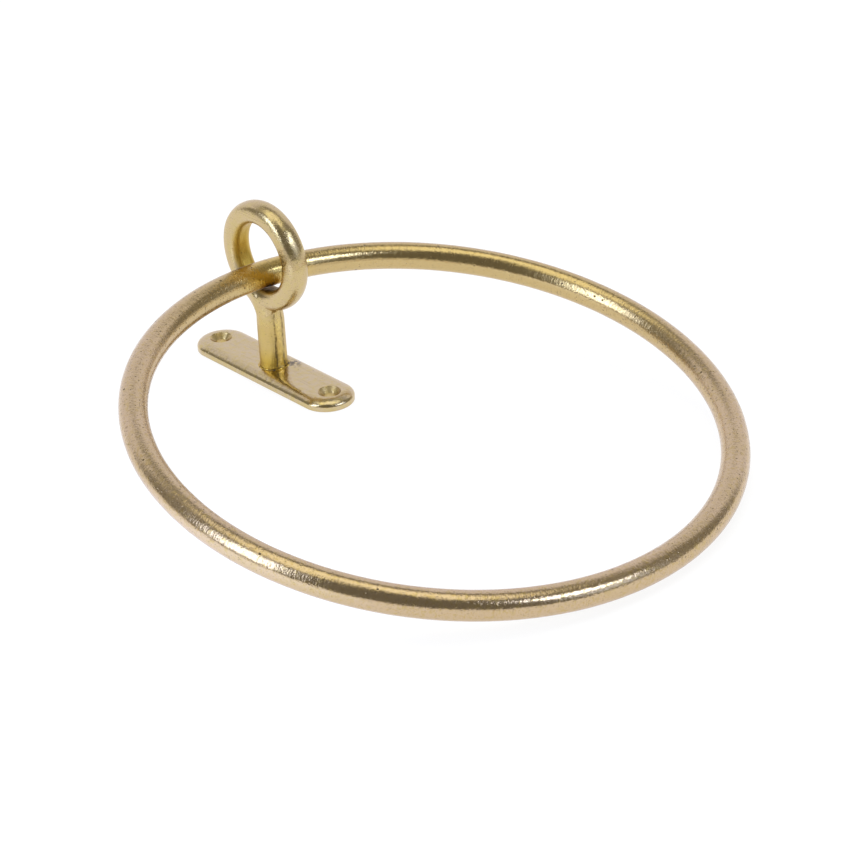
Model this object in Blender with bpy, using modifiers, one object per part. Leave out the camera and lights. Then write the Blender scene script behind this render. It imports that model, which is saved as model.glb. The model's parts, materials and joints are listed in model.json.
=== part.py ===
"""Towel ring: a ring of round brass rod hanging in the eye of a small wall bracket.

Metres, +Z up.  The origin is the centre of the backplate's back face, +Z points out of
the wall, the backplate's long side runs along Y and the eye's hole runs along X.
The bracket lies on its back, and the free side of the ring rests on the same surface.
"""
import math

import bmesh
import bpy
from mathutils import Matrix, Vector

MM = 0.001
GAP = 0.3 * MM              # left between two pieces that touch
WELD = 0.01 * MM            # points closer than this are one point
OVERSHOOT = 1.0 * MM        # how far a cutter reaches past the face it opens

# backplate: a flat strip with round ends and two countersunk screw holes
PLATE_LENGTH = 63.0 * MM
PLATE_WIDTH = 15.6 * MM
PLATE_THICK = 3.0 * MM
PLATE_TOP_ROUND = 1.8 * MM
PLATE_BACK_ROUND = 0.3 * MM
SCREW_SPACING = 49.5 * MM
SCREW_HOLE_RADIUS = 1.8 * MM
SCREW_SINK_RADIUS = 3.25 * MM

# the eye, its post and the spigot under it are one casting
EYE_HEIGHT = 37.7 * MM      # from the back face to the centre of the eye
EYE_RADIUS = 16.35 * MM
EYE_WIDTH = 7.4 * MM        # along the hole
EYE_RIM_ROUND = 3.0 * MM    # at the outer corners
EYE_HOLE_RADIUS = 10.05 * MM
EYE_HOLE_ROUND = 1.1 * MM
POST_RADIUS = 4.0 * MM
POST_BLEND = 4.0 * MM       # hollow radius where the post spreads into the eye
POST_TIP_RADIUS = 2.5 * MM  # the post's top end, buried in the eye
WEB_TOP_HALF = 3.0 * MM     # half the web's width where it ends inside the eye's rim
WEB_OVERLAP = 2.0 * MM      # how far the web runs down inside the post
WEB_INSET = 0.25 * MM       # the web's sides lie this far inside the post's
WEB_CORNER = 1.2 * MM
SPIGOT_RADIUS = 2.5 * MM
SPIGOT_LENGTH = 1.8 * MM

# filler metal around the post's foot
FOOT_FILLET = 1.2 * MM
FOOT_FILLET_THICK = 0.15 * MM    # where the fillet thins out at its two edges

# the ring
ROD_RADIUS = 4.0 * MM
RING_RADIUS = 80.5 * MM     # to the middle of the rod
ROD_PLAY = 0.45 * MM        # between the rod and the bottom of the eye
SEAM_THICK = 0.4 * MM
RING_YAW = math.radians(-5.26)   # the ring as it is set down: a little off square
RING_ROLL = math.radians(2.74)

# facets, counted round a full turn unless the name says otherwise
EYE_STEPS = 72
POST_STEPS = 40
HOLE_STEPS = 32
PLATE_END_STEPS = 16        # round one half-circle end
BLEND_STEPS = 8
ROUND_STEPS = 6             # over a quarter turn of a rounded rim
PLATE_RIM_STEPS = 4         # over the quarter turn of the plate's rim
WEB_CORNER_STEPS = 3
ROD_RESOLUTION = 6          # Blender makes 4 + 2 * 6 sides of it
ROD_SPANS = 120             # along the bent rod
SEAM_STEPS = 16

COLLECTION = "towel_ring"


def clear_scene():
    for obj in list(bpy.data.objects):
        bpy.data.objects.remove(obj, do_unlink=True)


def collection(name):
    col = bpy.data.collections.new(name)
    bpy.context.scene.collection.children.link(col)
    return col


def brass(name, colour, roughness):
    mat = bpy.data.materials.new(name)
    mat.use_nodes = True
    shader = mat.node_tree.nodes["Principled BSDF"]
    shader.inputs["Base Color"].default_value = (*colour, 1.0)
    shader.inputs["Metallic"].default_value = 1.0
    shader.inputs["Roughness"].default_value = roughness
    return mat


def add_object(name, data, col, material=None):
    obj = bpy.data.objects.new(name, data)
    col.objects.link(obj)
    if material:
        obj.data.materials.append(material)
    return obj


def smooth(obj, angle=40.0):
    obj.data.shade_smooth()
    obj.data.set_sharp_from_angle(angle=math.radians(angle))


def guide(obj):
    """A cutter or a helper shape: seen as a wire, never rendered."""
    obj.hide_render = True
    obj.display_type = "WIRE"


def boolean(obj, other, operation):
    mod = obj.modifiers.new(other.name, "BOOLEAN")
    mod.operation = operation
    mod.solver = "EXACT"
    mod.object = other


def cone(name, col, low_radius, high_radius, low_z, high_z, y=0.0):
    """An upright cone or cylinder between two heights."""
    mesh = bpy.data.meshes.new(name)
    bm = bmesh.new()
    bmesh.ops.create_cone(bm, cap_ends=True, segments=HOLE_STEPS, radius1=low_radius,
                          radius2=high_radius, depth=high_z - low_z)
    bm.to_mesh(mesh)
    bm.free()
    obj = add_object(name, mesh, col)
    obj.location = (0.0, y, (low_z + high_z) / 2)
    return obj


def arc(centre, radius, start, end, steps):
    """Points of an arc in a plane, angles in degrees."""
    points = []
    for k in range(steps + 1):
        a = math.radians(start + (end - start) * k / steps)
        points.append((centre[0] + radius * math.cos(a), centre[1] + radius * math.sin(a)))
    return points


def extruded_outline(name, points, half_thick, col):
    """A closed flat outline, thickened both ways, as a welded mesh."""
    curve = bpy.data.curves.new(name + "_outline", "CURVE")
    curve.dimensions = "2D"
    curve.fill_mode = "BOTH"
    curve.extrude = half_thick
    spline = curve.splines.new("POLY")
    spline.points.add(len(points) - 1)
    for point, (u, v) in zip(spline.points, points):
        point.co = (u, v, 0.0, 1.0)
    spline.use_cyclic_u = True
    shape = bpy.data.objects.new(name + "_outline", curve)
    col.objects.link(shape)
    graph = bpy.context.evaluated_depsgraph_get()
    mesh = bpy.data.meshes.new_from_object(shape.evaluated_get(graph))
    bpy.data.objects.remove(shape, do_unlink=True)
    bm = bmesh.new()
    bm.from_mesh(mesh)
    bmesh.ops.remove_doubles(bm, verts=bm.verts, dist=WELD)
    bmesh.ops.recalc_face_normals(bm, faces=bm.faces)
    bm.to_mesh(mesh)
    bm.free()
    return add_object(name, mesh, col)


def turned(name, points, col, steps, axis="Z", closed=False):
    """A profile of (radius, height) points turned round an axis."""
    mesh = bpy.data.meshes.new(name)
    if axis == "X":
        verts = [(h, 0.0, r) for r, h in points]
    else:
        verts = [(r, 0.0, h) for r, h in points]
    edges = [(k, k + 1) for k in range(len(points) - 1)]
    if closed:
        edges.append((len(points) - 1, 0))
    mesh.from_pydata(verts, edges, [])
    obj = add_object(name, mesh, col)
    mod = obj.modifiers.new("turn", "SCREW")
    mod.axis = axis
    mod.angle = math.tau
    mod.steps = steps
    mod.render_steps = steps
    mod.use_merge_vertices = True
    mod.merge_threshold = WELD
    mod.use_normal_calculate = True
    return obj


def bevel_flat_rims(obj, top_width, back_width, half_thick):
    """Round the two rims of a flat piece by different amounts."""
    mesh = obj.data
    weights = mesh.attributes.new("bevel_weight_edge", "FLOAT", "EDGE")
    for edge in mesh.edges:
        heights = [mesh.vertices[v].co.z for v in edge.vertices]
        if min(heights) > half_thick - WELD:
            weights.data[edge.index].value = 1.0
        elif max(heights) < -half_thick + WELD:
            weights.data[edge.index].value = back_width / top_width
    mod = obj.modifiers.new("rims", "BEVEL")
    mod.limit_method = "WEIGHT"
    mod.width = top_width
    mod.segments = PLATE_RIM_STEPS


def make_backplate(parts, cutters, material):
    half_straight = (PLATE_LENGTH - PLATE_WIDTH) / 2
    half_width = PLATE_WIDTH / 2
    outline = arc((0.0, half_straight), half_width, 0, 180, PLATE_END_STEPS)
    outline += arc((0.0, -half_straight), half_width, 180, 360, PLATE_END_STEPS)
    plate = extruded_outline("backplate", outline, PLATE_THICK / 2, parts)
    plate.location.z = PLATE_THICK / 2
    plate.data.materials.append(material)
    bevel_flat_rims(plate, PLATE_TOP_ROUND, PLATE_BACK_ROUND, PLATE_THICK / 2)

    sink_depth = SCREW_SINK_RADIUS - SCREW_HOLE_RADIUS
    for name, side in (("low", -1), ("high", 1)):
        y = side * SCREW_SPACING / 2
        hole = cone(name + "_screw_hole", cutters, SCREW_HOLE_RADIUS, SCREW_HOLE_RADIUS,
                    -OVERSHOOT, PLATE_THICK + OVERSHOOT, y)
        sink = cone(name + "_countersink", cutters, SCREW_HOLE_RADIUS,
                    SCREW_SINK_RADIUS + OVERSHOOT,
                    PLATE_THICK - sink_depth, PLATE_THICK + OVERSHOOT, y)
        for cutter in (hole, sink):
            guide(cutter)
            boolean(plate, cutter, "DIFFERENCE")
    socket = cone("spigot_socket", cutters, SPIGOT_RADIUS + GAP, SPIGOT_RADIUS + GAP,
                  PLATE_THICK - SPIGOT_LENGTH - GAP, PLATE_THICK + OVERSHOOT)
    guide(socket)
    boolean(plate, socket, "DIFFERENCE")
    smooth(plate)
    return plate


def make_eye_post(parts, cutters, material):
    """The eye, the web that blends it into the post, the post and its spigot, in one."""
    half = EYE_WIDTH / 2
    outer = EYE_RADIUS - EYE_RIM_ROUND
    inner = EYE_HOLE_RADIUS + EYE_HOLE_ROUND
    section = arc((outer, half - EYE_RIM_ROUND), EYE_RIM_ROUND, 90, 0, ROUND_STEPS)
    section += arc((outer, -half + EYE_RIM_ROUND), EYE_RIM_ROUND, 0, -90, ROUND_STEPS)
    section += arc((inner, -half + EYE_HOLE_ROUND), EYE_HOLE_ROUND, 270, 180, ROUND_STEPS // 2)
    section += arc((inner, half - EYE_HOLE_ROUND), EYE_HOLE_ROUND, 180, 90, ROUND_STEPS // 2)
    eye = turned("eye_post", section, parts, EYE_STEPS, axis="X", closed=True)
    eye.location.z = EYE_HEIGHT
    eye.data.materials.append(material)

    # the web stands in the YZ plane: hollow on both sides, from the post up into the rim
    side = POST_RADIUS - WEB_INSET
    blend_y = side + POST_BLEND
    blend_z = EYE_HEIGHT - math.sqrt((EYE_RADIUS + POST_BLEND) ** 2 - blend_y ** 2)
    touch = math.degrees(math.atan2(EYE_HEIGHT - blend_z, -blend_y))
    low = blend_z - WEB_OVERLAP
    right = [(side, low)] + arc((blend_y, blend_z), POST_BLEND, 180, touch, BLEND_STEPS)
    left = [(-y, z) for y, z in reversed(right)]
    top_z = EYE_HEIGHT - (EYE_RADIUS + EYE_HOLE_RADIUS) / 2
    crown = [(WEB_TOP_HALF, top_z), (-WEB_TOP_HALF, top_z)]
    web = extruded_outline("web", right + crown + left, half - WEB_INSET, cutters)
    web.rotation_euler = (math.pi / 2, 0.0, math.pi / 2)
    bevel = web.modifiers.new("corners", "BEVEL")
    bevel.width = WEB_CORNER
    bevel.segments = WEB_CORNER_STEPS
    bevel.angle_limit = math.radians(60)

    foot = PLATE_THICK + GAP
    spigot_end = PLATE_THICK - SPIGOT_LENGTH
    shaft = [(0.0, top_z), (POST_TIP_RADIUS, top_z), (side, (top_z + blend_z) / 2),
             (POST_RADIUS, blend_z), (POST_RADIUS, foot), (SPIGOT_RADIUS, foot),
             (SPIGOT_RADIUS, spigot_end), (0.0, spigot_end)]
    post = turned("post_and_spigot", shaft, cutters, POST_STEPS)
    for shape in (web, post):
        guide(shape)
        boolean(eye, shape, "UNION")
    smooth(eye)
    return eye


def make_foot_braze(parts, material):
    """Filler metal: a hollow fillet between the post and the plate."""
    inner = POST_RADIUS + GAP
    base = PLATE_THICK + GAP
    outer = inner + FOOT_FILLET
    hollow = arc((outer, base + FOOT_FILLET), FOOT_FILLET - FOOT_FILLET_THICK, 180, 270, ROUND_STEPS)
    profile = [(inner, base + FOOT_FILLET)] + hollow
    profile += [(outer, base), (inner, base)]
    braze = turned("foot_braze", profile, parts, POST_STEPS, closed=True)
    braze.data.materials.append(material)
    smooth(braze, 60)
    return braze


def ring_pitch(pivot_height):
    """How far the ring dips from the eye so that its free side just meets Z = 0."""
    drop = (pivot_height - ROD_RADIUS) / RING_RADIUS
    return math.asin((drop ** 2 - math.sin(RING_ROLL) ** 2) / (2 * drop))


def make_ring(parts, rod_material, seam_material):
    """The bent rod and the seam that closes it, both hung on the swing axis."""
    pivot_height = EYE_HEIGHT - EYE_HOLE_RADIUS + ROD_PLAY + ROD_RADIUS
    pivot = bpy.data.objects.new("ring_pivot", None)
    parts.objects.link(pivot)
    pivot.location = (0.0, 0.0, pivot_height)
    pivot.rotation_mode = "YXZ"
    pivot.rotation_euler = (ring_pitch(pivot_height), RING_ROLL, RING_YAW)

    # seen from the pivot the rod runs along X and the ring's centre lies along -Y
    half_break = math.degrees((SEAM_THICK / 2 + GAP) / RING_RADIUS)
    points = arc((0.0, -RING_RADIUS), RING_RADIUS, 90 + half_break, 450 - half_break,
                 ROD_SPANS)
    curve = bpy.data.curves.new("ring_rod", "CURVE")
    curve.dimensions = "3D"
    curve.bevel_depth = ROD_RADIUS
    curve.bevel_resolution = ROD_RESOLUTION
    curve.use_fill_caps = True
    curve.render_resolution_u = 0
    spline = curve.splines.new("POLY")
    spline.points.add(len(points) - 1)
    for point, (x, y) in zip(spline.points, points):
        point.co = (x, y, 0.0, 1.0)
    spline.use_smooth = True
    rod = add_object("ring_rod", curve, parts, rod_material)
    rod.parent = pivot

    mesh = bpy.data.meshes.new("ring_seam")
    bm = bmesh.new()
    bmesh.ops.create_cone(bm, cap_ends=True, segments=SEAM_STEPS, radius1=ROD_RADIUS,
                          radius2=ROD_RADIUS, depth=SEAM_THICK,
                          matrix=Matrix.Rotation(math.pi / 2, 4, Vector((0, 1, 0))))
    bm.to_mesh(mesh)
    bm.free()
    seam = add_object("ring_seam", mesh, parts, seam_material)
    seam.parent = pivot
    smooth(seam)


def main():
    clear_scene()
    parts = collection(COLLECTION)
    cutters = collection("cutters")
    bracket_brass = brass("bracket_brass", (0.72, 0.58, 0.33), 0.24)
    ring_brass = brass("ring_brass", (0.70, 0.57, 0.36), 0.28)
    filler = brass("braze_filler", (0.48, 0.40, 0.25), 0.45)
    make_backplate(parts, cutters, bracket_brass)
    make_eye_post(parts, cutters, bracket_brass)
    make_foot_braze(parts, filler)
    make_ring(parts, ring_brass, filler)


main()
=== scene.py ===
# %% [markdown]
# # A brass towel ring
# A ring of round brass rod hangs in the eye of a small wall bracket.  The design, its sizes
# and its one joint are already made; this lesson gives every piece its finished surface.
# The first step loads that design as a fixed frame and keeps its outer box, which sets the
# height of the table.

import json
import math

import bmesh
import bpy
import numpy as np
from mathutils import Matrix, Quaternion, Vector, noise


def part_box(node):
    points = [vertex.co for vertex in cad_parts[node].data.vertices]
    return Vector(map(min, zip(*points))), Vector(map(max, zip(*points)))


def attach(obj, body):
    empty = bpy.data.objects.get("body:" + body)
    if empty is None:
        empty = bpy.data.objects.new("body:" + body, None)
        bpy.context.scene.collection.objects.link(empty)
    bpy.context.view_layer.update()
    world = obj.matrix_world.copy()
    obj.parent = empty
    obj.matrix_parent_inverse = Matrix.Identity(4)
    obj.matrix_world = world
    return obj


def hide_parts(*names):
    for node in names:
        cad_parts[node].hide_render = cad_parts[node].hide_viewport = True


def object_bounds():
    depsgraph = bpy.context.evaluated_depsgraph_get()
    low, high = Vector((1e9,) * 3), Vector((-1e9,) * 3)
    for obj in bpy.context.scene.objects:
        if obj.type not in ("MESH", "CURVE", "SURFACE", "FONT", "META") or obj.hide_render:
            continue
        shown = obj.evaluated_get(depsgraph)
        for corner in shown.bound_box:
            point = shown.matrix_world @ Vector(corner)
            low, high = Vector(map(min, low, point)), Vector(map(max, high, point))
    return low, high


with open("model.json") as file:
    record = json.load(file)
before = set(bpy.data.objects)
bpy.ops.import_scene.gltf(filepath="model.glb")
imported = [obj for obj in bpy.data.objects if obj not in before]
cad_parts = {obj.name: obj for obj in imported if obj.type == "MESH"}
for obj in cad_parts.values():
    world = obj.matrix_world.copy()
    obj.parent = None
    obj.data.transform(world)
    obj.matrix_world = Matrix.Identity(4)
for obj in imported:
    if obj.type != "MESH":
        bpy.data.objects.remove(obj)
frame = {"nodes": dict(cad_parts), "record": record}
CAD_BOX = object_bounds()
MM = 0.001
NODES = frame["nodes"]

# %% [markdown]
# ## The camera
# Small shiny things are best seen from well back through a long lens, so that they don't
# look stretched.  Azimuth and elevation say where the camera stands, and the roll is the
# small tilt of a hand-set tripod.

# %% Camera
CAMERA_AZIMUTH = -40.45
CAMERA_ELEVATION = 28.74
CAMERA_ROLL = -3.09
CAMERA_DISTANCE = 0.8
CAMERA_LENS = 121.63
CAMERA_TARGET = Vector((0.00864, -0.05556, 0.00024))


def direction(azimuth, elevation):
    """The unit vector towards a place in the room; azimuth 0 is -Y, 90 is +X."""
    a, e = math.radians(azimuth), math.radians(elevation)
    return Vector((math.sin(a) * math.cos(e), -math.cos(a) * math.cos(e), math.sin(e)))


def make_camera():
    data = bpy.data.cameras.new("camera")
    data.lens = CAMERA_LENS
    data.clip_end = 50.0
    camera = bpy.data.objects.new("camera", data)
    bpy.context.scene.collection.objects.link(camera)
    back = direction(CAMERA_AZIMUTH, CAMERA_ELEVATION)
    level = back.to_track_quat("Z", "Y")
    camera.rotation_mode = "QUATERNION"
    camera.rotation_quaternion = Quaternion(back, math.radians(CAMERA_ROLL)) @ level
    camera.location = CAMERA_TARGET + back * CAMERA_DISTANCE
    bpy.context.scene.camera = camera


make_camera()
print("camera at", [round(v, 3) for v in bpy.context.scene.camera.location])

# %% [markdown]
# ## Node helpers
# Every finish below is a small tree of shader nodes.  Five helpers keep the trees short:
# one adds a node and fills its sockets, one does a sum, one is a smooth ramp between two
# values, one mixes two colours, and one measures how far a place is from a point.

# %% Node helpers
def add_node(tree, kind, inputs=None, **settings):
    node = tree.nodes.new(kind)
    for key, value in settings.items():
        setattr(node, key, value)
    for key, value in (inputs or {}).items():
        if isinstance(value, bpy.types.NodeSocket):
            tree.links.new(value, node.inputs[key])
        else:
            node.inputs[key].default_value = value
    return node


def maths(tree, operation, a, b=0.0, clamp=False):
    node = add_node(tree, "ShaderNodeMath", {0: a, 1: b}, operation=operation, use_clamp=clamp)
    return node.outputs[0]


def ramp(tree, value, low, high, at_low=0.0, at_high=1.0):
    inputs = {"Value": value, "From Min": low, "From Max": high,
              "To Min": at_low, "To Max": at_high}
    node = add_node(tree, "ShaderNodeMapRange", inputs, interpolation_type="SMOOTHSTEP")
    return node.outputs["Result"]


def mix_colour(tree, factor, a, b):
    node = add_node(tree, "ShaderNodeMix", data_type="RGBA")
    for socket, value in ((node.inputs[0], factor), (node.inputs[6], a), (node.inputs[7], b)):
        if isinstance(value, bpy.types.NodeSocket):
            tree.links.new(value, socket)
        else:
            socket.default_value = value if socket.type == "VALUE" else (*value, 1.0)
    return node.outputs[2]


def distance_from(tree, vector, centre):
    off = add_node(tree, "ShaderNodeVectorMath", {0: vector}, operation="SUBTRACT")
    off.inputs[1].default_value = centre
    far = add_node(tree, "ShaderNodeVectorMath", {0: off.outputs[0]}, operation="LENGTH")
    return far.outputs["Value"]


print("helpers: add_node, maths, ramp, mix_colour, distance_from")

# %% [markdown]
# ## The studio
# Polished brass has hardly any colour of its own: it shows the room.  So the room is made
# with care.  The table and the paper behind it are white, the ceiling is lit, two soft
# boxes stand left and right, and the side where the camera stands is dark.  All of it is
# painted on the world by direction, which costs no geometry and moves with nothing.

# %% The room as a world
ROOM_DARK = (0.20, 0.19, 0.165)
SWEEP_WHITE = (0.94, 0.935, 1.03)
CEILING_WHITE = (1.50, 1.48, 1.24)
BOX_WHITE = (0.88, 1.0, 1.32)
PALE = (0.96, 0.96, 0.96)


def patch(tree, azimuth, elevation, centre, size, soft):
    """A soft-edged rectangle of the room, as a mask from 0 to 1."""
    turn = maths(tree, "SUBTRACT", azimuth, centre[0])
    half_turn = add_node(tree, "ShaderNodeMath", {0: turn, 1: 180.0, 2: -180.0},
                         operation="WRAP")
    around = maths(tree, "ABSOLUTE", half_turn.outputs[0])
    up = maths(tree, "ABSOLUTE", maths(tree, "SUBTRACT", elevation, centre[1]))
    across = ramp(tree, around, size[0] / 2 - soft, size[0] / 2 + soft, 1.0, 0.0)
    along = ramp(tree, up, size[1] / 2 - soft, size[1] / 2 + soft, 1.0, 0.0)
    return maths(tree, "MULTIPLY", across, along)


def make_room():
    world = bpy.data.worlds.new("studio")
    bpy.context.scene.world = world
    world.use_nodes = True
    tree = world.node_tree
    tree.nodes.clear()
    where = add_node(tree, "ShaderNodeTexCoord")
    turned = add_node(tree, "ShaderNodeSeparateXYZ", {0: where.outputs["Generated"]})
    x, y, z = turned.outputs
    radians = maths(tree, "ARCTAN2", x, maths(tree, "MULTIPLY", y, -1.0))
    azimuth = maths(tree, "MULTIPLY", radians, 180.0 / math.pi)
    elevation = maths(tree, "MULTIPLY", maths(tree, "ARCSINE", z), 180.0 / math.pi)

    colour = ROOM_DARK
    layers = (
        # colour, brightness, centre (azimuth from the camera's, elevation), size, soft
        (ROOM_DARK, 1.5, (-120, 25), (80, 90), 14),
        (ROOM_DARK, 1.5, (118, 30), (90, 90), 14),
        (CEILING_WHITE, 1.0, (0, 90), (720, 50), 6),
        (ROOM_DARK, 1.0, (0, 62), (60, 46), 8),
        (SWEEP_WHITE, 1.0, (-176, 0), (120, 96), 6),
        (BOX_WHITE, 4.2, (-62, 32), (24, 44), 6),
        (BOX_WHITE, 5.5, (60, 38), (32, 14), 3),
        (BOX_WHITE, 1.1, (64, 18), (30, 16), 6),
    )
    for tint, bright, centre, size, soft in layers:
        mask = patch(tree, azimuth, elevation, (centre[0] + CAMERA_AZIMUTH, centre[1]), size, soft)
        colour = mix_colour(tree, mask, colour, tuple(c * bright for c in tint))
    below = ramp(tree, elevation, -2.0, 0.0, 1.0, 0.0)
    colour = mix_colour(tree, below, colour, PALE)
    room = add_node(tree, "ShaderNodeBackground", {"Color": colour})
    plain = add_node(tree, "ShaderNodeBackground", {"Color": (*PALE, 1.0)})
    ray = add_node(tree, "ShaderNodeLightPath")
    both = add_node(tree, "ShaderNodeMixShader", {0: ray.outputs["Is Camera Ray"],
                                                 1: room.outputs[0], 2: plain.outputs[0]})
    add_node(tree, "ShaderNodeOutputWorld", {"Surface": both.outputs[0]})


make_room()
print("studio painted in", len(bpy.context.scene.world.node_tree.nodes), "nodes")

# %% [markdown]
# ## Table and overhead light
# The table is a plain white sheet, a little brighter and bluer where the left box spills its
# light on it.  A broad lamp above fills the shadows; the lamp is hidden from reflections,
# since the ceiling painted above already stands for it.

# %% Table and lamp
TABLE_RADIUS = 6.0
TABLE_DROP = 0.05 * MM
TABLE_GREY = 0.14
TABLE_GLOW = 0.88
SPILL_GLOW = (1.23, 1.33, 1.63)
SPILL_CENTRE = (-0.17, -0.07, 0.0)
SPILL_FULL = 0.04
SPILL_END = 0.13
LAMP_PLACE = (0.2, 0.2, 1.8)
LAMP_SIZE = 1.6
LAMP_WATTS = 14.0


def table_glow(tree):
    """The light that the paper gives back, brighter under the left box."""
    place = add_node(tree, "ShaderNodeTexCoord").outputs["Object"]
    far = distance_from(tree, place, SPILL_CENTRE)
    near = ramp(tree, far, SPILL_FULL, SPILL_END, 1.0, 0.0)
    return mix_colour(tree, near, (TABLE_GLOW,) * 3, SPILL_GLOW)


def make_table():
    mesh = bpy.data.meshes.new("table")
    bm = bmesh.new()
    bmesh.ops.create_circle(bm, cap_ends=True, segments=96, radius=TABLE_RADIUS)
    bm.to_mesh(mesh)
    bm.free()
    table = bpy.data.objects.new("table", mesh)
    table.location.z = min(CAD_BOX[0].z, 0.0) - TABLE_DROP
    bpy.context.scene.collection.objects.link(table)
    material = bpy.data.materials.new("white_table")
    material.use_nodes = True
    shader = material.node_tree.nodes["Principled BSDF"]
    shader.inputs["Base Color"].default_value = (*(TABLE_GREY,) * 3, 1.0)
    shader.inputs["Roughness"].default_value = 0.7
    shader.inputs["Specular IOR Level"].default_value = 0.1
    glow = table_glow(material.node_tree)
    material.node_tree.links.new(glow, shader.inputs["Emission Color"])
    shader.inputs["Emission Strength"].default_value = 1.0
    mesh.materials.append(material)


def make_lamp():
    data = bpy.data.lights.new("overhead", "AREA")
    data.shape = "DISK"
    data.size = LAMP_SIZE
    data.energy = LAMP_WATTS
    lamp = bpy.data.objects.new("overhead", data)
    lamp.location = LAMP_PLACE
    lamp.visible_glossy = False
    bpy.context.scene.collection.objects.link(lamp)


make_table()
make_lamp()
bpy.context.scene.view_settings.view_transform = "Standard"
print("table and lamp placed")

# %% [markdown]
# ## Brass finishes
# Both castings and rod are the same yellow brass: in a metal the base colour is the tint of
# its mirror image.  What tells a hand-finished piece from a perfect one is in the small
# things, so the finish is built in layers: slow patches of tint, orange-peel unevenness from
# the polishing mop, fine scratches, and a few pits left from the rough bar or casting.

# %% Brass layers
BAR_PLACE = "bar_place"
EDGE_TINT = (0.99, 0.965, 1.0, 1.0)


def new_material(name):
    material = bpy.data.materials.new(name)
    material.use_nodes = True
    tree = material.node_tree
    shader = tree.nodes["Principled BSDF"]
    shader.inputs["Metallic"].default_value = 1.0
    shader.inputs["Specular Tint"].default_value = EDGE_TINT
    return material, tree, shader


def counted_in_millimetres(tree, vector):
    scaled = add_node(tree, "ShaderNodeVectorMath", {0: vector}, operation="SCALE")
    scaled.inputs["Scale"].default_value = 1.0 / MM
    return scaled.outputs[0]


def on_the_bracket(tree):
    """Coordinates in the bracket, in millimetres, with the wall at z = 0."""
    coords = add_node(tree, "ShaderNodeTexCoord")
    return counted_in_millimetres(tree, coords.outputs["Object"])


def in_the_straight_bar(tree):
    """Coordinates that the rod had before it was bent: x along it, y and z across it."""
    kept = add_node(tree, "ShaderNodeAttribute", attribute_name=BAR_PLACE)
    return counted_in_millimetres(tree, kept.outputs["Vector"])


def stretched(tree, vector, scale):
    """Coordinates multiplied by a number of its own in each direction."""
    node = add_node(tree, "ShaderNodeVectorMath", {0: vector}, operation="MULTIPLY")
    node.inputs[1].default_value = scale
    return node.outputs[0]


def noise_value(tree, vector, per_mm, detail=2.0, distortion=0.0):
    inputs = {"Vector": vector, "Scale": per_mm, "Detail": detail, "Distortion": distortion}
    return add_node(tree, "ShaderNodeTexNoise", inputs).outputs["Fac"]


def pits(tree, vector, per_mm, size, share):
    """Small round pits, 1 inside and 0 outside, in a share of the cells of a Voronoi grid."""
    cells = add_node(tree, "ShaderNodeTexVoronoi", {"Vector": vector, "Scale": per_mm})
    lottery = add_node(tree, "ShaderNodeSeparateColor", {0: cells.outputs["Color"]})
    chosen = maths(tree, "LESS_THAN", lottery.outputs[0], share)
    width = ramp(tree, lottery.outputs[1], 0.0, 1.0, 0.35 * size, size)
    near = ramp(tree, maths(tree, "DIVIDE", cells.outputs["Distance"], width), 0.5, 1.1, 1.0, 0.0)
    return maths(tree, "MULTIPLY", chosen, near)


def bumps(tree, shader, layers):
    """Stack height layers, each (height from 0 to 1, depth in metres), on the shader."""
    normal = None
    for height, depth in layers:
        inputs = {"Height": height, "Distance": depth, "Strength": 1.0}
        if normal is not None:
            inputs["Normal"] = normal
        normal = add_node(tree, "ShaderNodeBump", inputs).outputs[0]
    tree.links.new(normal, shader.inputs["Normal"])


print("brass layers ready")

# %% [markdown]
# ## The ring
# The real ring is a length of round rod, bent on a former and brazed shut.  A torus
# primitive would be too regular, so the surface is worked out point by point: for each step
# along the ring and each step round the rod there is one vertex, moved in or out by a few
# hundredths of a millimetre of smooth noise.  The ring's own centre, plane and radii are
# measured on the frame's rod, so nothing is guessed.

# %% Measure the ring
RING_PIVOT = Vector(frame["record"]["behaviour"]["joints"][0]["pos_m"])


def node_points(name):
    mesh = NODES[name].data
    flat = np.empty(len(mesh.vertices) * 3)
    mesh.vertices.foreach_get("co", flat)
    return flat.reshape(-1, 3)


def measure_ring():
    """The ring's own axes and centre as a matrix, and its two radii."""
    points = node_points("ring_rod")
    middle = points.mean(axis=0)
    normal = np.linalg.svd(points - middle, full_matrices=False)[2][2]
    normal = normal if normal[2] > 0 else -normal
    outward = np.array(RING_PIVOT) - middle
    outward -= normal * (outward @ normal)
    outward /= np.linalg.norm(outward)
    across = np.cross(outward, normal)
    u, v = (points - middle) @ across, (points - middle) @ outward
    known = np.c_[u, v, np.ones(len(u))]
    fit = np.linalg.lstsq(known, u * u + v * v, rcond=None)[0]
    centre = middle + across * fit[0] / 2 + outward * fit[1] / 2
    big = float(np.linalg.norm(np.array(RING_PIVOT) - centre))
    local = points - centre
    flat_radius = np.hypot(local @ across, local @ outward)
    small = float(np.hypot(flat_radius - big, local @ normal).max())
    matrix = Matrix((across, outward, normal)).transposed().to_4x4()
    matrix.translation = Vector(centre)
    return matrix, big, small


RING_MATRIX, RING_RADIUS, ROD_RADIUS = measure_ring()
print(f"ring radius {RING_RADIUS / MM:.2f} mm, rod radius {ROD_RADIUS / MM:.2f} mm")

# %% [markdown]
# ## The ring's finish
# Drawn rod keeps small pits and cross marks where the former gripped it, and in use it gathers
# dust.  The pattern is laid out in the straight bar's own coordinates, which every vertex
# keeps, so that it follows the bend.  Near the eye the metal is rubbed golden, and the two
# sides that hands touch least are dustier; a thin sheen stands for that dust.

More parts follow.
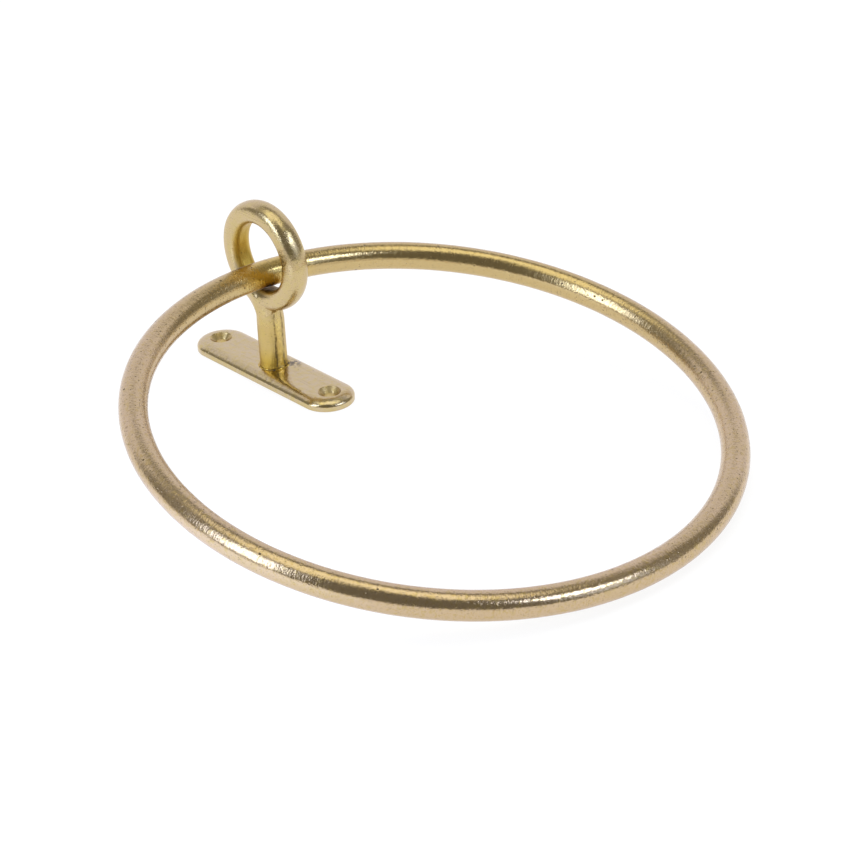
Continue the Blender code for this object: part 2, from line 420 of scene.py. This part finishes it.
# %% The ring's finish
RING_TINT = (0.580, 0.440, 0.262)
RING_YELLOW = (0.565, 0.425, 0.205)
RING_PINK = (0.600, 0.455, 0.290)
RING_GOLD = (0.575, 0.435, 0.205)
RUB_GOLD = (0.620, 0.455, 0.160)
BRIGHT_SHIFT = 45.0
LEAST_DUST = 0.45
RUB_START = 5 * MM
RUB_END = 15 * MM
PIT_DARK = (0.13, 0.095, 0.05)
FLECK_GOLD = (0.50, 0.34, 0.12)
FLECK_DARK = (0.22, 0.16, 0.085)
DUST_TINT = (0.92, 0.90, 1.0, 1.0)
DUST_SHEEN = 0.55
DUST_SHEEN_SPREAD = 0.22
HAMMER_DEPTH = 0.075 * MM
CROSS_MARK_DEPTH = 0.034 * MM
GRAIN_DEPTH = 0.024 * MM
PIT_DEPTH = 0.05 * MM


def along_the_bar(tree, place):
    """Two masks that change along the rod: dusty at the sides, and the half by the eye."""
    apart = add_node(tree, "ShaderNodeSeparateXYZ", {0: place})
    shifted = maths(tree, "ADD", apart.outputs[0], BRIGHT_SHIFT)
    turn = maths(tree, "MULTIPLY", shifted, MM / RING_RADIUS)
    sides = maths(tree, "ABSOLUTE", maths(tree, "SINE", turn))
    dusty = ramp(tree, sides, 0.35, 0.85, LEAST_DUST, 1.0)
    near_eye = ramp(tree, maths(tree, "COSINE", turn), 0.1, 0.9)
    return dusty, near_eye


def rubbed_by_the_eye(tree, place):
    apart = add_node(tree, "ShaderNodeSeparateXYZ", {0: place})
    turn = maths(tree, "MULTIPLY", apart.outputs[0], MM / RING_RADIUS)
    start, end = math.cos(RUB_START / RING_RADIUS), math.cos(RUB_END / RING_RADIUS)
    return ramp(tree, maths(tree, "COSINE", turn), end, start)


def make_ring_brass():
    material, tree, shader = new_material("ring_brass")
    place = in_the_straight_bar(tree)
    dusty, near_eye = along_the_bar(tree, place)
    slow = noise_value(tree, place, 0.06, 3.0, 0.6)
    mottle = noise_value(tree, place, 0.8, 4.0, 0.8)
    grain = maths(tree, "MULTIPLY", noise_value(tree, place, 3.0, 3.0), dusty)
    flecks = noise_value(tree, place, 1.5, 5.0, 0.4)
    cross_marks = noise_value(tree, stretched(tree, place, (1.9, 0.25, 0.25)), 1.0, 3.0, 0.3)
    dust = maths(tree, "MULTIPLY", pits(tree, place, 1.1, 0.34, 0.45), 0.6)
    dust = maths(tree, "MULTIPLY", dust, dusty)
    holes = maths(tree, "MULTIPLY", pits(tree, place, 0.36, 0.16, 0.40), 0.9)
    dark = maths(tree, "MAXIMUM", dust, holes)

    tint = mix_colour(tree, ramp(tree, slow, 0.35, 0.65), RING_TINT, RING_PINK)
    tint = mix_colour(tree, near_eye, tint, RING_GOLD)
    tint = mix_colour(tree, ramp(tree, mottle, 0.48, 0.70), tint, RING_YELLOW)
    tint = mix_colour(tree, rubbed_by_the_eye(tree, place), tint, RUB_GOLD)
    tint = mix_colour(tree, ramp(tree, flecks, 0.44, 0.32, 0.0, 0.55), tint, FLECK_GOLD)
    spots = maths(tree, "MULTIPLY", ramp(tree, flecks, 0.57, 0.68, 0.0, 0.55), dusty)
    tint = mix_colour(tree, spots, tint, FLECK_DARK)
    tint = mix_colour(tree, dark, tint, PIT_DARK)
    tree.links.new(tint, shader.inputs["Base Color"])
    shader.inputs["Sheen Weight"].default_value = DUST_SHEEN
    shader.inputs["Sheen Roughness"].default_value = DUST_SHEEN_SPREAD
    shader.inputs["Sheen Tint"].default_value = DUST_TINT
    rough = ramp(tree, mottle, 0.3, 0.7, 0.12, 0.20)
    rough = maths(tree, "ADD", rough, maths(tree, "MULTIPLY", dusty, 0.06))
    rough = maths(tree, "ADD", rough, maths(tree, "MULTIPLY", dark, 0.3))
    tree.links.new(rough, shader.inputs["Roughness"])
    deep = maths(tree, "MULTIPLY", dark, -1.0)
    bumps(tree, shader, ((mottle, HAMMER_DEPTH), (cross_marks, CROSS_MARK_DEPTH),
                         (grain, GRAIN_DEPTH), (deep, PIT_DEPTH)))
    return material


def make_seam_brass():
    material, tree, shader = new_material("seam_brass")
    place = in_the_straight_bar(tree)
    mottle = noise_value(tree, place, 1.5, 3.0)
    tint = mix_colour(tree, mottle, RUB_GOLD, RING_GOLD)
    tree.links.new(tint, shader.inputs["Base Color"])
    tree.links.new(ramp(tree, mottle, 0.3, 0.7, 0.22, 0.4), shader.inputs["Roughness"])
    bumps(tree, shader, ((mottle, 0.02 * MM),))
    return material


print("ring finishes defined")

# %% [markdown]
# ## The bent rod and its seam
# A curve with a round bevel would give a rod too, but not one whose skin wavers a little.
# Here rings of points are set along the bend and joined by quads.  The rod stops short of a
# full turn, and a very short piece of the same band, in the colour of filler metal, closes
# it.  The seam sits inside the eye.

# %% The bent rod and its seam
RING_STEPS = 900
ROD_STEPS = 56
SEAM_HALF = 0.16 * MM
WAVE = 0.025 * MM
UNDER_SIZE = 0.08 * MM


def finish_mesh(name, points, faces, material, angle=40.0):
    mesh = bpy.data.meshes.new(name)
    mesh.from_pydata([tuple(p) for p in points], [], faces)
    shape = bmesh.new()
    shape.from_mesh(mesh)
    bmesh.ops.recalc_face_normals(shape, faces=shape.faces)
    shape.to_mesh(mesh)
    shape.free()
    if material is not None:
        mesh.materials.append(material)
    mesh.shade_smooth()
    mesh.set_sharp_from_angle(angle=math.radians(angle))
    obj = bpy.data.objects.new(name, mesh)
    bpy.context.scene.collection.objects.link(obj)
    return obj


def band_faces(rings, around):
    """Quads between rings of points, with a cap at each end."""
    faces = []
    for i in range(rings - 1):
        for j in range(around):
            m = (j + 1) % around
            faces.append((i * around + j, (i + 1) * around + j,
                          (i + 1) * around + m, i * around + m))
    faces.append(tuple(range(around)))
    faces.append(tuple((rings - 1) * around + j for j in reversed(range(around))))
    return faces


def rod_points(start, end, steps, radius, wave):
    """Rings of points along the bent rod, each with its place in the bar before bending."""
    points, straight = [], []
    for i in range(steps + 1):
        turn = start + (end - start) * i / steps
        out = Vector((-math.sin(turn), math.cos(turn), 0.0))
        for j in range(ROD_STEPS):
            b = math.tau * j / ROD_STEPS
            spoke = out * math.cos(b) + Vector((0.0, 0.0, math.sin(b)))
            place = out * RING_RADIUS + spoke * radius
            lift = noise.noise(place / (9 * MM)) + 0.35 * noise.noise(place / (2.6 * MM))
            points.append(RING_MATRIX @ (place + spoke * (lift * wave - UNDER_SIZE)))
            straight.append((turn * RING_RADIUS, radius * math.cos(b), radius * math.sin(b)))
    return points, straight


def make_rod(name, start, end, steps, radius, wave, material):
    points, straight = rod_points(start, end, steps, radius, wave)
    faces = band_faces(steps + 1, ROD_STEPS)
    rod = finish_mesh(name, points, faces, material)
    kept = rod.data.attributes.new(BAR_PLACE, "FLOAT_VECTOR", "POINT")
    kept.data.foreach_set("vector", np.array(straight).ravel())
    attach(rod, "ring")
    return rod


SEAM_ANGLE = SEAM_HALF / RING_RADIUS
ring_bar = make_rod("ring_bar", SEAM_ANGLE, math.tau - SEAM_ANGLE, RING_STEPS, ROD_RADIUS,
                    WAVE, make_ring_brass())
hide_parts("ring_rod")
ring_joint = make_rod("ring_joint", -0.9 * SEAM_ANGLE, 0.9 * SEAM_ANGLE, 2,
                      ROD_RADIUS - 0.5 * WAVE, 0.0, make_seam_brass())
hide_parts("ring_seam")
print("ring bar:", len(ring_bar.data.polygons), "faces")

# %% [markdown]
# ## Measure the bracket
# The finishes have to know where the eye, its hole and the screw holes are.  The eye and
# plate are read from the frame's boxes; the radii of holes, which a box can't show, and the
# screw spacing are given as numbers.

# %% Measure the bracket
EYE_LOW, EYE_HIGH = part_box("eye_post")
PLATE_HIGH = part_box("backplate")[1]
PLATE_TOP = PLATE_HIGH.z
EYE_RADIUS = EYE_HIGH.y
EYE_CENTRE = EYE_HIGH.z - EYE_RADIUS
POST_RADIUS = EYE_HIGH.x
HOLE_RADIUS = 10.05 * MM
SCREW_SPACING = 49.5 * MM
SINK_RADIUS = 3.4 * MM
print(f"eye {2 * EYE_RADIUS / MM:.1f} mm across, centre {EYE_CENTRE / MM:.1f} mm up")

# %% [markdown]
# ## What marks the bracket
# The bracket is cast and then polished by hand.  Its flats mirror the paper behind it, with
# a slow ripple from the mop and long fine scratches.  The mop can't get inside the eye, down
# by the foot or into the screw holes, so those places keep a rougher, more golden skin.  On
# the post, upright streaks of painted highlight and painted reflection are added, and the
# bottom of the eye's hole gets painted shade.  Each mark is a mask from 0 to 1, worked out
# from the place on the bracket.

# %% Scratches, file ripples, painted post streaks and flux
FLUX_SPOT = (4.6, -3.4, 3.0)
FLUX_REACH = 4.6
POST_POLISH_LOW = 15.0
POST_POLISH_HIGH = 24.0
SCRATCH_STRETCH = 0.03


def scratches(tree, vector, per_mm, turn):
    """Thin straight lines, by stretching noise along one direction."""
    scale = (per_mm, per_mm * SCRATCH_STRETCH, per_mm)
    turned = add_node(tree, "ShaderNodeMapping", {"Vector": vector, "Rotation": turn,
                                                  "Scale": scale})
    return ramp(tree, noise_value(tree, turned.outputs[0], 1.0, 1.0), 0.62, 0.70)


def flux_stain(tree, place):
    """A dark smudge on one side of the foot, 1 where it is darkest."""
    near = ramp(tree, distance_from(tree, place, FLUX_SPOT), 0.5, FLUX_REACH, 1.0, 0.0)
    broken = ramp(tree, noise_value(tree, place, 0.9, 5.0, 0.6), 0.42, 0.58)
    return maths(tree, "MULTIPLY", near, broken)


def painted_upright_streak(tree, place, turn, half_width):
    """A wavering upright line on the post at a given turn round it, 1 on the line; these carry the
    painted highlight and painted reflection streaks.
    """
    x, y, z = add_node(tree, "ShaderNodeSeparateXYZ", {0: place}).outputs
    radians = maths(tree, "ARCTAN2", x, maths(tree, "MULTIPLY", y, -1.0))
    degrees = maths(tree, "MULTIPLY", radians, 180.0 / math.pi)
    waver = maths(tree, "MULTIPLY", noise_value(tree, place, 0.45, 4.0, 0.6), 16.0)
    off = maths(tree, "SUBTRACT", maths(tree, "SUBTRACT", degrees, waver), turn - 8.0)
    line = ramp(tree, maths(tree, "ABSOLUTE", off), 0.3 * half_width, half_width, 1.0, 0.0)
    on_post = ramp(tree, z, POST_POLISH_HIGH - 5.0, POST_POLISH_HIGH - 1.5, 1.0, 0.0)
    broken = ramp(tree, noise_value(tree, place, 1.0, 4.0, 0.5), 0.38, 0.58, 0.15, 1.0)
    return maths(tree, "MULTIPLY", maths(tree, "MULTIPLY", line, on_post), broken)


def post_ripples(tree, place):
    """Upright ripples that the file and the mop left on the post, as a height."""
    z = add_node(tree, "ShaderNodeSeparateXYZ", {0: place}).outputs[2]
    height = noise_value(tree, stretched(tree, place, (0.75, 0.75, 0.14)), 1.0, 3.0, 0.4)
    on_post = ramp(tree, z, POST_POLISH_LOW, POST_POLISH_HIGH, 1.0, 0.0)
    return maths(tree, "MULTIPLY", height, on_post)


print("masks: scratches, flux_stain, painted_upright_streak, post_ripples")

# %% Where the mop can't reach
FOOT_POLISH_LOW = 4.5
FOOT_POLISH_HIGH = 11.0
SEAT_REACH = 5.5


def unpolished(tree, place):
    """Inside the eye fully, and partly on the post and down at the foot."""
    z = add_node(tree, "ShaderNodeSeparateXYZ", {0: place}).outputs[2]
    post = ramp(tree, z, POST_POLISH_LOW, POST_POLISH_HIGH, 0.45, 0.0)
    foot = ramp(tree, z, FOOT_POLISH_LOW, FOOT_POLISH_HIGH, 0.55, 0.0)
    flat = stretched(tree, place, (0.0, 1.0, 1.0))
    out = distance_from(tree, flat, (0.0, 0.0, EYE_CENTRE / MM))
    edge = HOLE_RADIUS / MM
    hole = ramp(tree, out, edge + 0.2, edge + 1.4, 1.0, 0.0)
    return maths(tree, "MAXIMUM", maths(tree, "ADD", post, foot), hole)


def painted_seat_shade(tree, place):
    """Painted shade at the bottom of the eye's hole, under the ring, 1 where it is darkest."""
    bottom = (0.0, 0.0, (EYE_CENTRE - HOLE_RADIUS) / MM)
    return ramp(tree, distance_from(tree, place, bottom), 1.5, SEAT_REACH, 0.85, 0.0)


def rough_bowls(tree, place):
    """The two screw holes, as the countersink left them."""
    x, y, z = add_node(tree, "ShaderNodeSeparateXYZ", {0: place}).outputs
    off = maths(tree, "SUBTRACT", maths(tree, "ABSOLUTE", y), SCREW_SPACING / 2 / MM)
    flat = add_node(tree, "ShaderNodeCombineXYZ", {0: x, 1: off})
    reach = SINK_RADIUS / MM
    far = distance_from(tree, flat.outputs[0], (0.0, 0.0, 0.0))
    return ramp(tree, far, reach - 0.3, reach + 0.1, 0.30, 0.0)


print("masks: unpolished, painted_seat_shade, rough_bowls")

# %% [markdown]
# ## The bracket's finish
# Eye and plate share one recipe with different amounts, so the amounts are kept in a small
# dictionary for each, and a short function adds the colours that only one of them has.

# %% The bracket's brass
BRACKET_TINT = (0.600, 0.465, 0.255)
BRACKET_GOLD = (0.600, 0.475, 0.225)
PLATE_BEIGE = (0.605, 0.487, 0.305)
FRESH_GOLD = (0.590, 0.410, 0.082)
FLUX_GREY = (0.15, 0.125, 0.090)
# Painted shade for the bottom of the eye's hole, under the ring.
SEAT_PAINTED_SHADE = (0.17, 0.115, 0.045)
# Painted highlight and painted dark reflection, for upright streaks on the post.
POST_PAINTED_HIGHLIGHT = (0.74, 0.57, 0.21)
POST_PAINTED_DARK_REFLECTION = (0.27, 0.20, 0.08)
SCRATCH_DEPTH = 0.009 * MM
SPECK_DEPTH = 0.04 * MM
EYE_FINISH = {"base": BRACKET_TINT, "unreached": unpolished, "ripple": 0.075 * MM,
              "grain": 0.030 * MM, "rough": (0.20, 0.28), "unreached_rough": 0.15,
              "upright": 0.25 * MM}
PLATE_FINISH = {"base": PLATE_BEIGE, "unreached": rough_bowls, "ripple": 0.085 * MM,
                "grain": 0.022 * MM, "rough": (0.14, 0.22), "unreached_rough": 0.50,
                "upright": 0.0}


def eye_colours(tree, place, tint):
    """Painted highlight and painted dark reflection streaks on the post, and painted shade at the
    seat of the ring.
    """
    # Painted highlight and painted dark reflections as upright streaks on the post.
    tint = mix_colour(tree, painted_upright_streak(tree, place, -8.0, 16.0), tint, POST_PAINTED_HIGHLIGHT)
    tint = mix_colour(tree, painted_upright_streak(tree, place, -23.0, 7.0), tint, POST_PAINTED_DARK_REFLECTION)
    tint = mix_colour(tree, painted_upright_streak(tree, place, 14.0, 8.0), tint, POST_PAINTED_DARK_REFLECTION)
    # Painted shade at the bottom of the eye's hole, under the ring.
    return mix_colour(tree, painted_seat_shade(tree, place), tint, SEAT_PAINTED_SHADE)


def plate_colours(tree, place, tint):
    return tint


def make_bracket_brass(name, finish, own_colours):
    material, tree, shader = new_material(name)
    place = on_the_bracket(tree)
    slow = noise_value(tree, place, 0.16, 2.0, 0.4)
    mottle = noise_value(tree, place, 0.7, 4.0, 0.6)
    grain = noise_value(tree, place, 2.6, 3.0)
    specks = pits(tree, place, 0.8, 0.16, 0.30)
    one = scratches(tree, place, 3.0, (0.0, 0.0, 0.5))
    two = scratches(tree, place, 2.2, (0.3, 0.2, -1.0))
    lines = maths(tree, "MAXIMUM", one, two)
    unreached = finish["unreached"](tree, place)

    tint = mix_colour(tree, ramp(tree, mottle, 0.35, 0.68), finish["base"], BRACKET_GOLD)
    tint = mix_colour(tree, unreached, tint, FRESH_GOLD)
    tint = own_colours(tree, place, tint)
    tint = mix_colour(tree, maths(tree, "MULTIPLY", lines, 0.12), tint, FLECK_DARK)
    tint = mix_colour(tree, maths(tree, "MULTIPLY", specks, 0.7), tint, PIT_DARK)
    tint = mix_colour(tree, flux_stain(tree, place), tint, FLUX_GREY)
    tree.links.new(tint, shader.inputs["Base Color"])
    rough = ramp(tree, slow, 0.3, 0.7, *finish["rough"])
    rough = maths(tree, "ADD", rough, maths(tree, "MULTIPLY", lines, 0.06))
    dull = maths(tree, "MULTIPLY", unreached, finish["unreached_rough"])
    tree.links.new(maths(tree, "ADD", rough, dull), shader.inputs["Roughness"])
    sand = maths(tree, "MULTIPLY", grain, ramp(tree, unreached, 0.0, 1.0, 1.0, 2.5))
    layers = [(mottle, finish["ripple"]), (sand, finish["grain"]),
              (maths(tree, "MULTIPLY", lines, -1.0), SCRATCH_DEPTH),
              (maths(tree, "MULTIPLY", specks, -1.0), SPECK_DEPTH)]
    if finish["upright"]:
        layers.insert(0, (post_ripples(tree, place), finish["upright"]))
    bumps(tree, shader, layers)
    return material


print("bracket finish defined")

# %% [markdown]
# ## The eye and its post
# Eye and post are one casting, and the eye swells out of the post without an edge on one
# side while its rim crosses the post with a crease on the other.  Such a blend is hard to
# draw with faces but easy to say as a formula: a signed distance, which is negative inside
# the metal and zero on its skin.  The frame's own solid is remeshed finely and every vertex
# is then pulled on to the skin.  Rounded corners come from joining two distances with an arc.

# %% A formula for the casting
EYE_HALF = 3.7 * MM
EYE_CROWN = 4.7 * MM
EYE_CORNER = 1.1 * MM
HOLE_CORNER = 2.8 * MM
POST_TAPER = 0.55 * MM
TAPER_START = 1.25
TAPER_END = 0.85
ROOF_DROP = 0.84
ROOF_CORNER = 1.0 * MM
CREASE_FILLET = 0.35 * MM
SOFT_FILLET = 3.4 * MM
SOFT_START = -1.6 * MM
SOFT_END = 2.2 * MM
SPIGOT_RADIUS = 2.5 * MM
FOOT_FLARE = 0.35 * MM
FLARE_HEIGHT = 1.3 * MM


def both(a, b, radius):
    """Inside a and inside b, with their edge rounded."""
    outer = np.hypot(np.maximum(a + radius, 0), np.maximum(b + radius, 0))
    return outer + np.minimum(-radius, np.maximum(a, b))


def either(a, b, radius):
    """Inside a or inside b, with a hollow fillet between them."""
    inner = np.hypot(np.maximum(radius - a, 0), np.maximum(radius - b, 0))
    return np.maximum(radius, np.minimum(a, b)) - inner


def smooth_step(value, low, high):
    t = np.clip((value - low) / (high - low), 0, 1)
    return t * t * (3 - 2 * t)


def casting(p):
    """Signed distance to the eye, post and spigot, for an array of points."""
    x, y, z = p.T
    out = np.hypot(y, z - EYE_CENTRE)
    crown = np.hypot(out - (EYE_RADIUS - EYE_CROWN), x) - EYE_CROWN
    eye = both(crown, np.abs(x) - EYE_HALF, EYE_CORNER)
    eye = both(eye, HOLE_RADIUS - out, HOLE_CORNER)
    up = z - PLATE_TOP
    below = (EYE_CENTRE - z) / EYE_RADIUS
    taper = POST_TAPER * smooth_step(-below, -TAPER_START, -TAPER_END)
    flare = FOOT_FLARE * np.clip(1 - up / FLARE_HEIGHT, 0, 1) ** 2
    post = np.hypot(x, y) - (POST_RADIUS - taper + flare)
    roof = z - (EYE_CENTRE - ROOF_DROP * EYE_RADIUS)
    post = both(post, roof, ROOF_CORNER)
    post = np.maximum(post, -up)
    soft = CREASE_FILLET + SOFT_FILLET * smooth_step(y, SOFT_START, SOFT_END)
    body = either(eye, post, soft)
    spigot = np.hypot(x, y) - SPIGOT_RADIUS
    spigot = np.maximum(np.maximum(spigot, EYE_LOW.z - z), z - 2 * PLATE_TOP)
    return np.minimum(body, spigot)


def pull_on_to(formula, points, rounds=8):
    """Move points along the slope of a signed distance until they lie on its skin."""
    step = 0.02 * MM
    for _ in range(rounds):
        slope = np.empty_like(points)
        for k in range(3):
            shift = np.zeros(3)
            shift[k] = step
            slope[:, k] = (formula(points + shift) - formula(points - shift)) / (2 * step)
        size = np.maximum((slope ** 2).sum(axis=1), 0.2)
        points = points - slope * (formula(points) / size)[:, None]
    return points


print(f"eye {2 * EYE_RADIUS / MM:.1f} mm across, centre {EYE_CENTRE / MM:.1f} mm up")

# %% [markdown]
# ## Shape the casting
# The Remesh modifier turns the frame's solid into small even squares.  Pulling every vertex
# on to the formula's skin then takes eight rounds, because each round corrects most of what
# is left.

# %% Shape the casting
VOXEL = 0.28 * MM


def remeshed_copy(node, name, voxel):
    """A fine, even copy of a frame solid."""
    obj = bpy.data.objects.new(name, NODES[node].data.copy())
    bpy.context.scene.collection.objects.link(obj)
    mod = obj.modifiers.new("fine", "REMESH")
    mod.mode = "VOXEL"
    mod.voxel_size = voxel
    graph = bpy.context.evaluated_depsgraph_get()
    fine = bpy.data.meshes.new_from_object(obj.evaluated_get(graph))
    obj.modifiers.clear()
    old = obj.data
    obj.data = fine
    bpy.data.meshes.remove(old)
    return obj


def make_eye_post():
    obj = remeshed_copy("eye_post", "eye_and_post", VOXEL)
    mesh = obj.data
    flat = np.empty(len(mesh.vertices) * 3)
    mesh.vertices.foreach_get("co", flat)
    points = pull_on_to(casting, flat.reshape(-1, 3))
    mesh.vertices.foreach_set("co", points.ravel())
    mesh.update()
    mesh.materials.clear()
    mesh.materials.append(make_bracket_brass("eye_brass", EYE_FINISH, eye_colours))
    mesh.shade_smooth()
    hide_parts("eye_post")
    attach(obj, "bracket")
    return obj


eye_and_post = make_eye_post()
print("eye and post:", len(eye_and_post.data.polygons), "faces")

# %% [markdown]
# ## The backplate
# The strip is flat with round ends.  Its outline is walked once, and each ring of points is
# the same outline moved inwards, so the rounded top edge is a row of rings.  The countersunk
# holes are then cut with a turned cutter whose lip is rounded, because a filed rim is never
# a knife edge.

# %% Shape the backplate
PLATE_ROUND_IN = 3.4 * MM
PLATE_ROUND_DOWN = 1.75 * MM
BACK_ROUND = 0.25 * MM
SCREW_RADIUS = 1.8 * MM
LIP = 0.16 * MM
LIP_STEPS = 5
EDGE_STEPS = 24
BACK_STEPS = 4
CUTTER_REACH = 1.0 * MM


def outline(arc_steps=48, straight_steps=60):
    """Points of the strip's outline with the direction pointing out of it."""
    half_width = PLATE_HIGH.x
    half_straight = PLATE_HIGH.y - half_width
    spots = []
    for end in (1, -1):
        for k in range(arc_steps):
            a = math.radians((0 if end > 0 else 180) + 180 * k / arc_steps)
            out = Vector((math.cos(a), math.sin(a)))
            spots.append((Vector((0, end * half_straight)) + out * half_width, out))
        for k in range(straight_steps):
            y = end * half_straight * (1 - 2 * k / straight_steps)
            spots.append((Vector((-end * half_width, y)), Vector((-end, 0))))
    return spots


def plate_profile():
    """(inset, height) pairs from the middle of the back, round the edge, to the middle."""
    half_width = PLATE_HIGH.x
    pairs = [(half_width * f, 0.0) for f in (0.9, 0.7, 0.5, 0.3, 0.15)]
    for k in range(BACK_STEPS + 1):
        a = math.radians(90 * k / BACK_STEPS)
        pairs.append((BACK_ROUND * (1 - math.sin(a)), BACK_ROUND * (1 - math.cos(a))))
    for k in range(EDGE_STEPS + 1):
        a = math.radians(90 * k / EDGE_STEPS)
        pairs.append((PLATE_ROUND_IN * (1 - math.cos(a)),
                      PLATE_TOP - PLATE_ROUND_DOWN * (1 - math.sin(a))))
    pairs += [(half_width * f, PLATE_TOP) for f in (0.5, 0.6, 0.7, 0.8, 0.9)]
    return pairs


def sink_profile():
    """(radius, height) pairs of the cutter: shank, 45 degree cone and a rounded lip."""
    eighth = math.radians(45)
    cone_top = PLATE_TOP - LIP * (1 - math.cos(eighth))
    cone_radius = SINK_RADIUS - LIP * math.sin(eighth)
    cone_foot = cone_top - (cone_radius - SCREW_RADIUS)
    pairs = [(SCREW_RADIUS, -CUTTER_REACH), (SCREW_RADIUS, cone_foot)]
    for k in range(LIP_STEPS + 1):
        a = eighth * (1 - 0.9 * k / LIP_STEPS)
        pairs.append((SINK_RADIUS - LIP * math.sin(a), PLATE_TOP - LIP * (1 - math.cos(a))))
    pairs.append((SINK_RADIUS + CUTTER_REACH, PLATE_TOP + 0.1 * MM))
    pairs.append((SINK_RADIUS + CUTTER_REACH, PLATE_TOP + CUTTER_REACH))
    return pairs


def turned_cutter(name, profile, y, steps=96):
    points = []
    for radius, height in profile:
        for k in range(steps):
            a = math.tau * k / steps
            points.append((radius * math.cos(a), y + radius * math.sin(a), height))
    return finish_mesh(name, points, band_faces(len(profile), steps), None)


def cut(obj, cutter):
    mod = obj.modifiers.new("cut", "BOOLEAN")
    mod.object = cutter
    mod.operation = "DIFFERENCE"
    mod.solver = "EXACT"
    graph = bpy.context.evaluated_depsgraph_get()
    mesh = bpy.data.meshes.new_from_object(obj.evaluated_get(graph))
    obj.modifiers.clear()
    obj.data = mesh
    bpy.data.objects.remove(cutter)


def make_plate():
    spots, profile = outline(), plate_profile()
    points = []
    for inset, height in profile:
        for spot, out in spots:
            flat = spot - out * inset
            points.append((flat.x, flat.y, height))
    plate = finish_mesh("wall_plate", points, band_faces(len(profile), len(spots)), None)
    for end in (1, -1):
        cut(plate, turned_cutter("sink", sink_profile(), end * SCREW_SPACING / 2))
    socket = ((SPIGOT_RADIUS, EYE_LOW.z), (SPIGOT_RADIUS, 2 * PLATE_TOP))
    cut(plate, turned_cutter("socket", socket, 0.0))
    plate.data.materials.clear()
    plate.data.materials.append(make_bracket_brass("plate_brass", PLATE_FINISH, plate_colours))
    plate.data.shade_smooth()
    plate.data.set_sharp_from_angle(angle=math.radians(30))
    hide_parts("backplate")
    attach(plate, "bracket")
    return plate


wall_plate = make_plate()
print("plate:", len(wall_plate.data.polygons), "faces")

# %% [markdown]
# ## The brazed foot
# The post is let into the plate and brazed.  The filler has crept a little way out of the
# joint: a thin hollow fillet of uneven width, dull and dark where flux has burnt.

# %% The filler round the foot
FILLET_WIDTH = 0.40 * MM
FILLET_HEIGHT = 0.35 * MM
FILLET_BITE = 0.15 * MM
FILLET_DEPTH = 0.3 * MM
FILLET_SINK = 0.1 * MM


def make_braze_brass():
    material, tree, shader = new_material("foot_filler")
    place = on_the_bracket(tree)
    blotch = noise_value(tree, place, 0.5, 4.0, 1.0)
    grain = noise_value(tree, place, 3.0, 3.0)
    tint = mix_colour(tree, ramp(tree, blotch, 0.50, 0.70), FRESH_GOLD, FLUX_GREY)
    tree.links.new(tint, shader.inputs["Base Color"])
    tree.links.new(ramp(tree, blotch, 0.4, 0.65, 0.18, 0.5), shader.inputs["Roughness"])
    bumps(tree, shader, ((blotch, 0.08 * MM), (grain, 0.02 * MM)))
    return material


def make_foot_filler(around=160, arc_steps=8):
    """A hollow fillet between post and plate, its width and height wandering round the foot."""
    inner = POST_RADIUS + FOOT_FLARE - FILLET_BITE
    points = []
    for i in range(around):
        a = math.tau * i / around
        way = Vector((math.cos(a), math.sin(a), 0.0))
        wander = 1 + 0.45 * noise.noise(way * 2.3) + 0.2 * noise.noise(way * 7.0)
        width, height = FILLET_WIDTH * wander, FILLET_HEIGHT * wander
        for k in range(arc_steps + 1):
            b = math.pi / 2 * k / arc_steps
            points.append(way * (inner + width * (1 - math.sin(b)))
                          + Vector((0, 0, PLATE_TOP + height * (1 - math.cos(b)))))
        top, low = Vector((0, 0, PLATE_TOP + height)), Vector((0, 0, PLATE_TOP - FILLET_SINK))
        points.append(way * (inner - FILLET_DEPTH) + top)
        points.append(way * (inner - FILLET_DEPTH) + low)
        points.append(way * (inner + width) + low)
    row = arc_steps + 4
    faces = []
    for i in range(around):
        n = (i + 1) % around
        for k in range(row):
            m = (k + 1) % row
            faces.append((i * row + k, i * row + m, n * row + m, n * row + k))
    filler = finish_mesh("foot_filler", points, faces, make_braze_brass(), 60.0)
    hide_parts("foot_braze")
    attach(filler, "bracket")
    return filler


foot_filler = make_foot_filler()
print("foot filler:", len(foot_filler.data.polygons), "faces")
